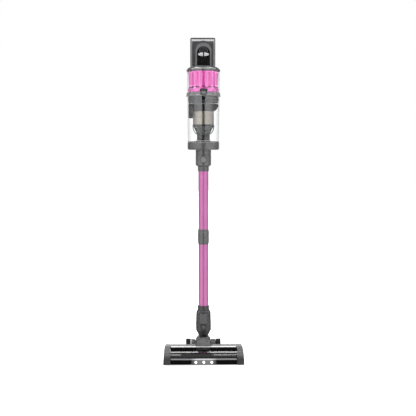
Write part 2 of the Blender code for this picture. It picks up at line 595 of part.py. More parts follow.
def grip():
    """Round grip from the motor housing to the handle base, with a trigger and a thumb button."""
    start, end = HOUSING_REAR + GAP, BASE_Y0 - GAP
    count = 12
    curve = bpy.data.curves.new("handle_grip", "CURVE")
    curve.dimensions = "3D"
    curve.bevel_depth = GRIP_R
    curve.bevel_resolution = 5
    curve.use_fill_caps = True
    spline = curve.splines.new("POLY")
    spline.points.add(count)
    for i, point in enumerate(spline.points):
        share = i / count
        rise = GRIP_RISE * math.sin(math.pi * share) ** 2
        point.co = (0, start + (end - start) * share, GRIP_Z + rise, 1)
    handle = meshed("handle_grip", curve, DARK, ((0, 0, 0), (0, 0, 0)))
    trim = 3 * MM
    cut(handle,
        box("trigger_pocket", (-6.4 * MM, 47.6 * MM, 1000 * MM), (6.4 * MM, 68.4 * MM, 1024 * MM)),
        rod("power_pocket", (0, 58 * MM, 1044 * MM), 20 * MM, 6.4 * MM, "Z"),
        box("front_trim_cut", (-30 * MM, start - trim, 1000 * MM), (30 * MM, start, 1060 * MM)),
        box("rear_trim_cut", (-30 * MM, end, 1000 * MM), (30 * MM, end + trim, 1060 * MM)))
    soften(box("trigger", (-6 * MM, 48 * MM, 1007 * MM), (6 * MM, 68 * MM, 1018 * MM), LIGHT), 1.5 * MM)
    soften(rod("power_button", (0, 58 * MM, 1045.6 * MM), 5 * MM, 6 * MM, "Z", LIGHT), 0.6 * MM)


def handle_base():
    """Wide base that the battery pack clips to."""
    base = plate("handle_base", round_rect(BASE_HALF, BASE_Z0, BASE_Z1, 9 * MM), "XZ", BASE_Y0, BASE_Y1, GREY)
    soften(base, 2.5 * MM)


def battery():
    """Battery pack with a release button in its right side."""
    outline = round_rect(BASE_HALF - 0.6 * MM, BASE_Z0 + 1 * MM, BASE_Z1 - 1.5 * MM, 8 * MM)
    pack = plate("battery_pack", outline, "XZ", BASE_Y1 + GAP, REAR_Y, DARK)
    soften(pack, 2.5 * MM)
    cut(pack, box("battery_pocket", (37 * MM, 148.6 * MM, 1016.6 * MM), (50 * MM, 161.4 * MM, 1043.4 * MM)))
    button = box("battery_button", (39 * MM, 149 * MM, 1017 * MM), (43 * MM, 161 * MM, 1043 * MM), LIGHT)
    soften(button, 0.8 * MM)


def build():
    head_base()
    top_cover()
    brush_window()
    front_strip()
    for word, side in (("left", -1), ("right", 1)):
        end_cap(word, side)
    brush_roll()
    brush_drive()
    wheels()
    pivot()
    head_coupling()
    wand()
    dust_cup()
    cup_base()
    cyclone()
    cyclone_pack()
    ring_collar()
    motor_housing()
    suction_motor()
    grip()
    handle_base()
    battery()


build()
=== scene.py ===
"""Finished looks of the cordless stick vacuum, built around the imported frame.

Sizes come from the frame's boxes. Pieces on the wand are made round its axis, in metres, +Z up.
"""
import math
import random

import bmesh
import bpy
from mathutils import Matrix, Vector


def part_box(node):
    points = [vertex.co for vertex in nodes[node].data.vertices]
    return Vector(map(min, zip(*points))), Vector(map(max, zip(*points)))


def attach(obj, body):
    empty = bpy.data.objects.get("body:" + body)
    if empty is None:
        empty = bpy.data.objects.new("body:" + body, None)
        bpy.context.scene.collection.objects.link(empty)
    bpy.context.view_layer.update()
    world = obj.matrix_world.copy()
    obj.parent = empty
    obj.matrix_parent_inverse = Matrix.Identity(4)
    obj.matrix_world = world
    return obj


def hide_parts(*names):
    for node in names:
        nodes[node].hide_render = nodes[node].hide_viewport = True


MM = 0.001
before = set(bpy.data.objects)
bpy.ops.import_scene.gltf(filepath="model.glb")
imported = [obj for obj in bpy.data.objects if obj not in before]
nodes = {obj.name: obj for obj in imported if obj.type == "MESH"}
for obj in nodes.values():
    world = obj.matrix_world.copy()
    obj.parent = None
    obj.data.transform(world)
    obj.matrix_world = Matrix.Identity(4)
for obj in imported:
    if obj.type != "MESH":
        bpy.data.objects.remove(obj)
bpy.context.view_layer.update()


def middle(node):
    """Centre of a node's box."""
    low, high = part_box(node)
    return (low + high) / 2


AXIS_Y = middle("upper_tube").y          # the wand's axis
SEGMENTS = 96
random.seed(4)


# ---------------------------------------------------------------- materials

def linear(*rgb):
    """8-bit display colour to linear, with alpha."""
    return (*[(c / 255) ** 2.2 for c in rgb], 1)


def tree_of(material):
    tree = material.node_tree
    return tree, tree.nodes["Principled BSDF"]


def link(tree, source, out, target, into):
    tree.links.new(source.outputs[out], target.inputs[into])


def noise_node(tree, coords, scale, detail=3.0, stretch=(1, 1, 1)):
    """Noise in the piece's own space, in cycles per metre."""
    mapping = tree.nodes.new("ShaderNodeMapping")
    mapping.inputs["Scale"].default_value = stretch
    link(tree, coords, "Object", mapping, "Vector")
    noise = tree.nodes.new("ShaderNodeTexNoise")
    noise.inputs["Scale"].default_value = scale
    noise.inputs["Detail"].default_value = detail
    link(tree, mapping, "Vector", noise, "Vector")
    return noise


def span_node(tree, source, out, low, high, to_low, to_high):
    """Map one range of a value to another."""
    node = tree.nodes.new("ShaderNodeMapRange")
    for name, value in (("From Min", low), ("From Max", high), ("To Min", to_low), ("To Max", to_high)):
        node.inputs[name].default_value = value
    link(tree, source, out, node, "Value")
    return node


def mix_node(tree, factor, first, second):
    """Mix two colours by a node's result."""
    node = tree.nodes.new("ShaderNodeMix")
    node.data_type = "RGBA"
    tree.links.new(factor.outputs[0], node.inputs[0])
    for value, socket in ((first, node.inputs[6]), (second, node.inputs[7])):
        if hasattr(value, "outputs"):
            tree.links.new(value.outputs[2] if value.bl_idname == "ShaderNodeMix" else value.outputs[0],
                           socket)
        else:
            socket.default_value = value
    return node


def finish(name, colour, roughness, metallic=0.0, grain=1400, bump=0.12, wear=0.15, streak=(1, 1, 1),
           vary=0.12, coat=0.0, specular=0.5):
    """Moulded or metal surface: tint drift, smudged gloss, fine grain and lighter worn edges."""
    material = bpy.data.materials.new(name)
    material.use_nodes = True
    tree, shader = tree_of(material)
    shader.inputs["Metallic"].default_value = metallic
    shader.inputs["Coat Weight"].default_value = coat
    shader.inputs["Coat Roughness"].default_value = 0.06
    shader.inputs["Specular IOR Level"].default_value = specular
    coords = tree.nodes.new("ShaderNodeTexCoord")
    drift = noise_node(tree, coords, 24, 4.0)
    darker = (*[c * (1 - vary) for c in colour[:3]], 1)
    lighter = (*[min(1, c * (1 + vary)) for c in colour[:3]], 1)
    tint = mix_node(tree, span_node(tree, drift, "Fac", 0.3, 0.7, 0, 1), darker, lighter)
    geometry = tree.nodes.new("ShaderNodeNewGeometry")
    edge = span_node(tree, geometry, "Pointiness", 0.52, 0.62, 0, wear)
    worn = (*[min(1, c * 1.6 + 0.03) for c in colour[:3]], 1)
    tree.links.new(mix_node(tree, edge, tint, worn).outputs[2], shader.inputs["Base Color"])
    smudge = noise_node(tree, coords, 55, 5.0)
    gloss = span_node(tree, smudge, "Fac", 0.3, 0.7, max(0.02, roughness - 0.05), roughness + 0.07)
    link(tree, gloss, "Result", shader, "Roughness")
    fine = noise_node(tree, coords, grain, 2.0, streak)
    bumps = tree.nodes.new("ShaderNodeBump")
    bumps.inputs["Strength"].default_value = bump
    bumps.inputs["Distance"].default_value = 0.05 * MM
    link(tree, fine, "Fac", bumps, "Height")
    link(tree, bumps, "Normal", shader, "Normal")
    return material


def clear_plastic(name, tint, roughness=0.015, ior=1.45):
    """Clear moulded shell with faint smears."""
    material = bpy.data.materials.new(name)
    material.use_nodes = True
    tree, shader = tree_of(material)
    shader.inputs["Base Color"].default_value = tint
    shader.inputs["Transmission Weight"].default_value = 1.0
    shader.inputs["IOR"].default_value = ior
    coords = tree.nodes.new("ShaderNodeTexCoord")
    smear = noise_node(tree, coords, 30, 4.0)
    gloss = span_node(tree, smear, "Fac", 0.35, 0.7, roughness, roughness + 0.01)
    link(tree, gloss, "Result", shader, "Roughness")
    return material


def lamp_glow(name, centre, edge):
    """Lit lens: brightest in its middle, dimmer at its rim, with a faint frosted break-up."""
    material = bpy.data.materials.new(name)
    material.use_nodes = True
    tree, shader = tree_of(material)
    shader.inputs["Base Color"].default_value = (1, 1, 1, 1)
    shader.inputs["Roughness"].default_value = 0.25
    coords = tree.nodes.new("ShaderNodeTexCoord")
    reach = tree.nodes.new("ShaderNodeVectorMath")
    reach.operation = "LENGTH"
    link(tree, coords, "Object", reach, "Vector")
    link(tree, span_node(tree, reach, "Value", 1.2 * MM, 4.4 * MM, centre, edge), "Result", shader,
         "Emission Strength")
    frost = noise_node(tree, coords, 900, 2.0)
    glow = mix_node(tree, span_node(tree, frost, "Fac", 0.3, 0.7, 0, 1), (0.85, 0.88, 0.92, 1), (1, 1, 1, 1))
    tree.links.new(glow.outputs[2], shader.inputs["Emission Color"])
    return material


def perforated(name, colour):
    """Fine round holes in thin steel, laid out on the object's own coordinates."""
    material = finish(name, colour, 0.12, 0.85, bump=0.03, wear=0.0)
    tree, shader = tree_of(material)
    coords = tree.nodes.new("ShaderNodeTexCoord")
    dots = tree.nodes.new("ShaderNodeTexVoronoi")
    dots.inputs["Scale"].default_value = 900
    dots.inputs["Randomness"].default_value = 0.15
    link(tree, coords, "Object", dots, "Vector")
    hole = span_node(tree, dots, "Distance", 0.25, 0.45, 0.55, 0)
    base = shader.inputs["Base Color"].links[0].from_node
    dark = (*[c * 0.35 for c in colour[:3]], 1)
    tree.links.new(mix_node(tree, hole, base, dark).outputs[2], shader.inputs["Base Color"])
    return material


GREY = finish("grey_gloss", linear(105, 105, 105), 0.27, 0.8, bump=0.06)
KEY = finish("key_satin", linear(74, 74, 75), 0.34)
DUSK = finish("dusk_satin", linear(52, 52, 53), 0.3)
CORE = finish("core_gloss", linear(101, 101, 102), 0.06, 0.92, bump=0.03, vary=0.06)
FUNNEL = finish("funnel_satin", linear(60, 60, 61), 0.2, 0.5, bump=0.05)
MID = finish("mid_grey_satin", linear(94, 94, 95), 0.24, 0.65, bump=0.08)
DARK = finish("dark_satin", linear(72, 72, 73), 0.26, 0.65, bump=0.08)
CHARCOAL = finish("charcoal_satin", linear(44, 44, 46), 0.4, grain=1900, bump=0.2)
LIGHT = finish("light_satin", linear(104, 104, 105), 0.28, 0.3)
EDGE = finish("edge_satin", linear(122, 122, 123), 0.24, 0.3)
BLACK = finish("piano_black", linear(14, 14, 15), 0.07, bump=0.02, wear=0.1, coat=0.3)
PINK = finish("pink_anodised", linear(198, 120, 173), 0.38, 0.85, grain=260, bump=0.01, wear=0.0,
              streak=(3, 3, 0.1), vary=0.04)
PACK = finish("pink_plastic", linear(255, 132, 212), 0.12, 0.5, bump=0.03, vary=0.05)
CLEAR = clear_plastic("clear_shell", (0.995, 0.998, 0.998, 1))
SMOKED = clear_plastic("window_shell", (0.05, 0.052, 0.055, 1), 0.02, 1.58)
TRIM = finish("bright_lip", linear(238, 238, 240), 0.2, 0.1, bump=0.03, wear=0.1, vary=0.02)
SILVER = finish("silver_plate", linear(150, 150, 153), 0.42, 0.3, streak=(1, 1, 8), vary=0.04)
STEEL = finish("turned_steel", linear(150, 150, 152), 0.28, 1.0, streak=(1, 9, 9), wear=0.1)
MOTOR = finish("cast_metal", linear(165, 165, 168), 0.42, 0.9, grain=700, bump=0.35)
RUBBER = finish("soft_rubber", linear(16, 16, 16), 0.62, grain=1100, bump=0.4, wear=0.1, specular=0.2)
BRISTLE = finish("bristle_nylon", linear(20, 20, 23), 0.75, grain=1500, bump=0.3)
# Pale grey for a painted highlight: the band across the top of the rear upright.
HIGHLIGHT_STRIP = finish("painted_highlight_satin", linear(150, 150, 152), 0.4, bump=0.04, vary=0.04)
SEAL = finish("pale_seal", linear(196, 196, 190), 0.5, wear=0.0)
SCREEN = perforated("mesh_steel", linear(177, 172, 163))
FILTER = finish("filter_paper", linear(226, 224, 214), 0.85, grain=500, bump=0.6, wear=0.0)
BOARD = finish("board_green", linear(28, 84, 46), 0.4, grain=500, bump=0.5)
LAMP = lamp_glow("lamp_lens", 1.8, 0.15)


# ---------------------------------------------------------------- shape helpers

def rounded(points, radius, closed=True, steps=4):
    """Replace each corner of an outline by a short curve."""
    result = []
    count = len(points)
    for i, point in enumerate(points):
        here = Vector(point)
        if not closed and i in (0, count - 1):
            result.append(tuple(here))
            continue
        before, after = Vector(points[i - 1]), Vector(points[(i + 1) % count])
        to_before, to_after = before - here, after - here
        reach = min(radius, to_before.length * 0.45, to_after.length * 0.45)
        if reach < 0.01 * MM:
            result.append(tuple(here))
            continue
        first = here + to_before.normalized() * reach
        last = here + to_after.normalized() * reach
        for k in range(steps + 1):
            t = k / steps
            result.append(tuple(first * (1 - t) ** 2 + here * 2 * t * (1 - t) + last * t * t))
    return result


def arc(centre, half_axes, start, end, count):
    """Points along an elliptical arc, angles in degrees."""
    angles = [math.radians(start + (end - start) * i / count) for i in range(count + 1)]
    return [(centre[0] + half_axes[0] * math.cos(a), centre[1] + half_axes[1] * math.sin(a)) for a in angles]


def arch(half, low, top, count=32):
    """Outline with upright sides and a round top."""
    return [(-half, low), (half, low), *arc((0, top - half), (half, half), 0, 180, count)]


def place(name, mesh, material, body, stands_for=(), location=(0, 0, 0), turn=(0, 0, 0)):
    """Make an object from a mesh, in its material, riding on a CAD body."""
    piece = bpy.data.objects.new(name, mesh)
    bpy.context.scene.collection.objects.link(piece)
    piece.location = location
    piece.rotation_euler = [math.radians(angle) for angle in turn]
    mesh.materials.append(material)
    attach(piece, body)
    if stands_for:
        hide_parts(*stands_for)
    return piece


def polish(piece, edge=0.0, steps=3, angle=35):
    """Round the sharp edges, if asked, and shade the piece smooth."""
    piece.data.shade_smooth()
    if edge:
        bevel = piece.modifiers.new("edges", "BEVEL")
        bevel.width = edge
        bevel.segments = steps
        bevel.limit_method = "ANGLE"
        bevel.angle_limit = math.radians(angle)
    normals = piece.modifiers.new("normals", "WEIGHTED_NORMAL")
    normals.weight = 80
    normals.keep_sharp = True
    return piece


def turned_mesh(name, profile, closed=True, segments=SEGMENTS):
    """Mesh turned about Z from (radius, height) points that run down its outer side."""
    form = bmesh.new()
    rings = []
    for radius, height in profile:
        if radius < 0.001 * MM:
            rings.append([form.verts.new((0, 0, height))])
            continue
        angles = [math.tau * i / segments for i in range(segments)]
        rings.append([form.verts.new((radius * math.cos(a), radius * math.sin(a), height)) for a in angles])
    pairs = list(zip(rings, rings[1:]))
    if closed:
        pairs.append((rings[-1], rings[0]))
    for upper, lower in pairs:
        for i in range(segments):
            k = (i + 1) % segments
            corners = [upper[i % len(upper)], lower[i % len(lower)], lower[k % len(lower)],
                       upper[k % len(upper)]]
            unique = list(dict.fromkeys(corners))
            if len(unique) > 2:
                form.faces.new(unique)
    bmesh.ops.recalc_face_normals(form, faces=form.faces)
    mesh = bpy.data.meshes.new(name)
    form.to_mesh(mesh)
    form.free()
    return mesh


def turned(name, profile, material, body, stands_for=(), closed=True, fillet=0.5 * MM,
           centre=None, turn=(0, 0, 0), segments=SEGMENTS):
    """A turned piece, on the wand's axis unless a centre is given."""
    mesh = turned_mesh(name, rounded(profile, fillet, closed), closed, segments)
    location = centre if centre is not None else (0, AXIS_Y, 0)
    return polish(place(name, mesh, material, body, stands_for, location, turn))


PLANES = {"XY": lambda u, v, w: (u, v, w), "XZ": lambda u, v, w: (u, w, v), "YZ": lambda u, v, w: (w, u, v)}


def slab_mesh(name, outline, plane, low, high, holes=()):
    """A flat outline made thick, with or without holes."""
    curve = bpy.data.curves.new(name, "CURVE")
    curve.dimensions = "2D"
    curve.fill_mode = "BOTH"
    curve.extrude = (high - low) / 2
    for loop in (outline, *holes):
        spline = curve.splines.new("POLY")
        spline.points.add(len(loop) - 1)
        for point, (u, v) in zip(spline.points, loop):
            point.co = (u, v, 0, 1)
        spline.use_cyclic_u = True
    wire = bpy.data.objects.new(name + "_wire", curve)
    bpy.context.scene.collection.objects.link(wire)
    state = bpy.context.evaluated_depsgraph_get()
    mesh = bpy.data.meshes.new_from_object(wire.evaluated_get(state))
    bpy.data.objects.remove(wire)
    form = bmesh.new()
    form.from_mesh(mesh)
    bmesh.ops.remove_doubles(form, verts=form.verts, dist=0.001 * MM)
    for vertex in form.verts:
        u, v, w = vertex.co
        vertex.co = PLANES[plane](u, v, w + (low + high) / 2)
    bmesh.ops.dissolve_limit(form, angle_limit=math.radians(1), verts=form.verts, edges=form.edges)
    bmesh.ops.recalc_face_normals(form, faces=form.faces)
    form.to_mesh(mesh)
    form.free()
    mesh.name = name
    mesh.materials.clear()
    return mesh


def slab(name, outline, plane, low, high, material, body, slot, stands_for=(), edge=0.5 * MM, holes=()):
    mesh = slab_mesh(name, outline, plane, low, high, holes)
    return polish(place(name, mesh, material, body, stands_for), edge)


def block(name, low, high, material, body, stands_for=(), edge=0.5 * MM):
    """A box between two corners, with round edges."""
    form = bmesh.new()
    bmesh.ops.create_cube(form, size=1)
    size = Vector(high) - Vector(low)
    for vertex in form.verts:
        vertex.co = Vector(a * b for a, b in zip(vertex.co, size)) + (Vector(low) + Vector(high)) / 2
    mesh = bpy.data.meshes.new(name)
    form.to_mesh(mesh)
    form.free()
    return polish(place(name, mesh, material, body, stands_for), edge)


def ring_points(half_u, half_v, power, count=72):
    """A superellipse: power 2 is an ellipse, higher powers are squarer."""
    points = []
    for i in range(count):
        a = math.tau * i / count
        c, s = math.cos(a), math.sin(a)
        points.append((half_u * math.copysign(abs(c) ** (2 / power), c),
                       half_v * math.copysign(abs(s) ** (2 / power), s)))
    return points


def loft(name, sections, material, body, stands_for=(), edge=0.0):
    """Closed skin through rings of equal point count."""
    form = bmesh.new()
    rings = [[form.verts.new(point) for point in section] for section in sections]
    for first, second in zip(rings, rings[1:]):
        count = len(first)
        for i in range(count):
            k = (i + 1) % count
            form.faces.new((first[i], first[k], second[k], second[i]))
    form.faces.new(reversed(rings[0]))
    form.faces.new(rings[-1])
    bmesh.ops.recalc_face_normals(form, faces=form.faces)
    mesh = bpy.data.meshes.new(name)
    form.to_mesh(mesh)
    form.free()
    return polish(place(name, mesh, material, body, stands_for), edge)


def keep(node, material, edge=0.0):
    """Give a CAD node its material, welded, softened and smooth."""
    piece = nodes[node]
    piece.data.materials.clear()
    piece.data.materials.append(material)
    weld = piece.modifiers.new("weld", "WELD")
    weld.merge_threshold = 0.005 * MM
    return polish(piece, edge, 2)


def mm(*points):
    """Points given in millimetres."""
    return [(a * MM, b * MM) for a, b in points]


def side(*points):
    """(y, z) points in millimetres, with y measured from the wand's axis."""
    return [(AXIS_Y + y * MM, z * MM) for y, z in points]


def at(y):
    """A y in millimetres from the wand's axis."""
    return AXIS_Y + y * MM


def band(outline, low, high):
    """The part of an outline between two heights."""
    for limit, sign in ((low, 1), (high, -1)):
        cut = []
        for i, point in enumerate(outline):
            before = outline[i - 1]
            inside, was_inside = sign * (point[1] - limit) >= 0, sign * (before[1] - limit) >= 0
            if inside != was_inside:
                t = (limit - before[1]) / (point[1] - before[1])
                cut.append((before[0] + t * (point[0] - before[0]), limit))
            if inside:
                cut.append(point)
        outline = cut
    return outline


# ---------------------------------------------------------------- floor head

HEAD = "floor_head"
HEAD_HALF = 110.2 * MM


def lit(material, strength, start, end):
    """Paint the lamps' light on a surface that is no lamp: a glow round the lenses, fading to nothing towards
    its ends.
    """
    tree, shader = tree_of(material)
    coords = tree.nodes.new("ShaderNodeTexCoord")
    split = tree.nodes.new("ShaderNodeSeparateXYZ")
    link(tree, coords, "Object", split, "Vector")
    reach = tree.nodes.new("ShaderNodeMath")
    reach.operation = "ABSOLUTE"
    link(tree, split, "X", reach, "Value")
    glow = span_node(tree, reach, "Value", start * MM, end * MM, strength, 0.0)
    shader.inputs["Emission Color"].default_value = (1, 1, 1, 1)
    link(tree, glow, "Result", shader, "Emission Strength")
    return material


# Painted light: the lamp panel and the nose lip get a painted glow of lamp light round the lenses.
PANEL_PAINTED_GLOW = lit(finish("panel_painted_glow", linear(26, 26, 28), 0.16, bump=0.04, wear=0.1), 0.2, 26, 44)
LIP_PAINTED_GLOW = lit(finish("lip_painted_glow", linear(112, 112, 114), 0.3, 0.3, bump=0.03, wear=0.1, vary=0.03), 0.4, 22, 44)


def front_parts():
    """Bright trims, the gloss strip and the lamp panel, with painted lamp light glowing on the panel and the
    nose lip.
    """
    crest = [*arc((-22, 20), (60.9, 31.8), 92.0, 101.5, 12), *arc((-22, 20), (60.1, 31.15), 101.5, 92.0, 12)]
    slab("window_lip", side(*crest), "YZ", -108 * MM, 108 * MM, TRIM, HEAD, "bright_trim", ["window_trim"],
         0.3 * MM)
    slab("nose_lip", rounded(side((-84.6, 18.6), (-84.6, 21.4), (-83, 22.8), (-80.5, 22.8), (-80.5, 18.6)),
                             0.9 * MM),
         "YZ", -108 * MM, 108 * MM, LIP_PAINTED_GLOW, HEAD, "bright_trim", ["front_trim"], 0.3 * MM)
    slab("nose_strip", rounded(side((-83.4, 3), (-83.4, 18.4), (-79.5, 18.4), (-79.5, 3)), 0.8 * MM),
         "YZ", -HEAD_HALF, HEAD_HALF, BLACK, HEAD, "black_gloss", ["front_strip"], 0.3 * MM)
    slab("lamp_plate", rounded(mm((-43, 4.5), (43, 4.5), (40, 18.4), (-40, 18.4)), 2 * MM),
         "XZ", at(-84.6), at(-83.7), PANEL_PAINTED_GLOW, HEAD, "black_gloss", ["lamp_panel"], 0.3 * MM)
    for name, x in (("left", -26), ("middle", 0), ("right", 26)):
        lens = mm((0, 0.82), (1.6, 0.74), (3.0, 0.5), (4.1, 0.12), (4.5, -0.5), (0, -0.5))
        turned("lens_" + name, lens, LAMP, HEAD, ["lamp_" + name], False, 0.1 * MM,
               (x * MM, at(-84.55), 11.5 * MM), (90, 0, 0), 48)
        bezel = mm((5.6, -0.2), (5.6, 0.25), (4.9, 0.45), (4.6, 0.3), (4.6, -0.2))
        turned("bezel_" + name, bezel, MID, HEAD, ["lamp_" + name], True, 0.08 * MM,
               (x * MM, at(-84.55), 11.5 * MM), (90, 0, 0), 48)


def window():
    """Clear bent window over the brush."""
    outer = arc((-22, 20), (60, 31), 92.4, 176, 40)
    inner = arc((-22, 20), (58.2, 29.2), 176, 92.4, 40)
    slab("window_shell", side(*outer, *inner), "YZ", -HEAD_HALF, HEAD_HALF, SMOKED, HEAD,
         "clear_plastic", ["brush_window"], 0.25 * MM)


def cap_outline():
    """Side outline of an end cap."""
    return side((-83, 2.2), *arc((-22, 17), (63, 36), 180, 90, 28), (12, 52.4), (18, 47), (18, 2.2))


def end_caps():
    """Three stacked mouldings at each end, drawn in towards the top."""
    outline = cap_outline()
    bands = (("foot", 2.2, 20.8, CHARCOAL, 0.0), ("cheek", 21.4, 44.6, DUSK, 0.0),
             ("brow", 46.0, 53.0, LIGHT, 3.4))
    for sign, hand in ((-1, "left"), (1, "right")):
        for part, low, high, material, inset in bands:
            shape = band(outline, low * MM, high * MM)
            ends = sorted((sign * 110.5 * MM, sign * (133.1 - inset) * MM))
            piece = slab(f"cap_{part}_{hand}", shape, "YZ", *ends, material, HEAD, "dark_plastic",
                         ["end_cap_" + hand], 1.1 * MM if part != "brow" else 1.6 * MM)
            for vertex in piece.data.vertices:
                if abs(vertex.co.x) > 120 * MM:
                    vertex.co.x -= sign * 0.045 * vertex.co.z
        inner = [(AXIS_Y - 20 * MM + (y - AXIS_Y + 20 * MM) * 0.97, z) for y,
                 z in band(outline, 4 * MM, 48 * MM)]
        slab("cap_core_" + hand, inner, "YZ", *sorted((sign * 111 * MM, sign * 127.6 * MM)), CHARCOAL, HEAD,
             "dark_plastic", ["end_cap_" + hand], 0.3 * MM)
        seam = side((-10, 46.6), (14, 46.6), (14, 50.6), (-10, 50.6))
        slab("cap_inlay_" + hand, rounded(seam, 1.2 * MM), "YZ",
             *sorted((sign * 126.6 * MM, sign * 128.6 * MM)),
             CHARCOAL, HEAD, "dark_plastic", ["end_cap_" + hand], 0.3 * MM)


def head_shell():
    """Tray and top cover with a raised plate either side of the middle."""
    keep("head_base", CHARCOAL)
    cover = side((-20.7, 43.4), (-20.7, 49.6), (-19.2, 51.0), (14.8, 51.0), (18, 48.6), (18, 43.4))
    slab("cover_shell", rounded(cover, 0.8 * MM), "YZ", -HEAD_HALF, HEAD_HALF, LIGHT, HEAD, "grey_plastic",
         ["top_cover"], 0.5 * MM)
    for sign, hand in ((-1, "left"), (1, "right")):
        low, high = sorted((sign * 31 * MM, sign * 104 * MM))
        plate = side((-17.5, 50.4), (-17.5, 51.1), (-16.8, 51.4), (12.4, 51.4), (13.4, 50.4))
        slab("cover_plate_" + hand, plate, "YZ", low, high, LIGHT, HEAD, "grey_plastic", ["top_cover"],
             0.2 * MM)
    for hand in ("left", "right"):
        keep("glide_" + hand, SEAL, 0.4 * MM)
    keep("brush_motor", MOTOR, 0.5 * MM)
    keep("drive_belt", RUBBER)
    keep("wheel_axle", STEEL)
    keep("brush_pulley", CHARCOAL)
    keep("motor_pulley", STEEL)


def brush_mesh(name, rows, tufts, strands):
    """Rows of splayed bristles set along helices on the roll."""
    form = bmesh.new()
    length = 200 * MM
    for row in range(rows):
        for step in range(tufts):
            t = (step + 0.5) / tufts
            base = math.tau * (row / rows + abs(t - 0.5) * 0.9)
            x = -95 * MM + length * t
            for strand in range(strands):
                angle = base + random.uniform(-0.10, 0.10)
                tip_angle = angle + random.uniform(-0.09, 0.09)
                tip_x = x + random.uniform(-1.6, 1.6) * MM
                low = Vector((x + random.uniform(-0.8, 0.8) * MM, 0, 0))
                foot = [Vector((low.x, 14.6 * MM * math.sin(angle), 14.6 * MM * math.cos(angle)))]
                reach = random.uniform(19.6, 20.4) * MM
                tip = Vector((tip_x, reach * math.sin(tip_angle), reach * math.cos(tip_angle)))
                across = Vector((1, 0, 0)) * 0.22 * MM
                along = (tip - foot[0]).cross(Vector((1, 0, 0))).normalized() * 0.22 * MM
                lower = [form.verts.new(foot[0] + d) for d in (across, along, -across, -along)]
                upper = [form.verts.new(tip + d * 0.7) for d in (across, along, -across, -along)]
                for i in range(4):
                    k = (i + 1) % 4
                    form.faces.new((lower[i], lower[k], upper[k], upper[i]))
                form.faces.new(upper)
    bmesh.ops.recalc_face_normals(form, faces=form.faces)
    mesh = bpy.data.meshes.new(name)
    form.to_mesh(mesh)
    form.free()
    return mesh


def brush():
    """Roll core, its bristles and end journals."""
    centre = (5 * MM, at(-46), 21.5 * MM)
    core = mm((0, 102.5), (14, 102.5), (15.2, 101), (15.2, 60), (14.8, 59.4), (14.8, 58.6), (15.2, 58),
              (15.2, -58), (14.8, -58.6), (14.8, -59.4), (15.2, -60), (15.2, -101), (14, -102.5), (0, -102.5))
    turned("brush_core", core, RUBBER, "brush", ["brush_roll"], False, 0.3 * MM, centre,
           (0, 90, 0), 64)
    shaft = mm((0, 110), (4, 110), (4, -118), (0, -118))
    turned("brush_shaft", shaft, STEEL, "brush", ["brush_roll"], False, 0.5 * MM,
           (0.5 * MM, at(-46), 21.5 * MM), (0, 90, 0), 32)
    place("brush_bristles", brush_mesh("brush_bristles", 4, 96, 9), BRISTLE, "brush",
          ["brush_roll"], (0, at(-46), 21.5 * MM))


def wheels():
    """Rubber tyres with grooves round dished hubs."""
    for sign, hand in ((-1, "left"), (1, "right")):
        body = hand + "_wheel"
        centre = (sign * 50.65 * MM, at(52), 31 * MM)
        tyre = [(21, 7.4), (27.5, 8.35), (29.6, 8.35), (31, 6.6)]
        for x in (5.2, 1.9, -1.4, -4.7):
            tyre += [(31, x), (30.1, x - 0.3), (30.1, x - 0.9), (31, x - 1.2)]
        tyre += [(31, -6.6), (29.6, -8.35), (27.5, -8.35), (21, -7.4)]
        turned("tyre_" + hand, mm(*tyre), RUBBER, body, ["wheel_" + hand], True, 0.3 * MM,
               centre, (0, sign * 90, 0))
        hub = mm((3.4, 5.6), (8.2, 5.8), (9.2, 4.4), (18.5, 5.2), (20.6, 7.6), (21.2, 7.2), (21.2, -7.2),
                 (20.6, -7.6), (18.5, -6.2), (9.2, -6.2), (8.2, -7.8), (3.4, -7.8))
        turned("hub_" + hand, hub, MID, body, ["wheel_" + hand], True, 0.4 * MM,
               centre, (0, sign * 90, 0))


def fenders():
    """Round housings that carry the axle between the wheels and the yoke."""
    drum = mm((0, 7.5), (25.6, 7.5), (28.6, 6.0), (29.2, 4.4), (29.2, 1.0), (28.4, 0.6), (28.4, -0.4),
              (29.2, -0.8),
              (29.2, -5.8), (28.2, -7.5), (0, -7.5))
    for sign, hand in ((-1, "left"), (1, "right")):
        turned("fender_" + hand, drum, DUSK, HEAD, (), False, 0.5 * MM,
               (sign * 34.0 * MM, at(52), 31 * MM), (0, 90, 0))


front_parts()
fenders()
window()
end_caps()
head_shell()
brush()
wheels()


# ---------------------------------------------------------------- pivot and neck

def pivot():
    """Swivel yoke and its D-shaped face."""
    keep("pivot_yoke", DARK)
    keep("swivel_pin", STEEL)
    slab("pivot_face", rounded(arch(23.5 * MM, 53 * MM, 80 * MM), 2.4 * MM), "XZ", at(-28.4), at(-25.8),
         LIGHT,
         "pivot", "light_plastic", ["pivot_cover"], 0.9 * MM)


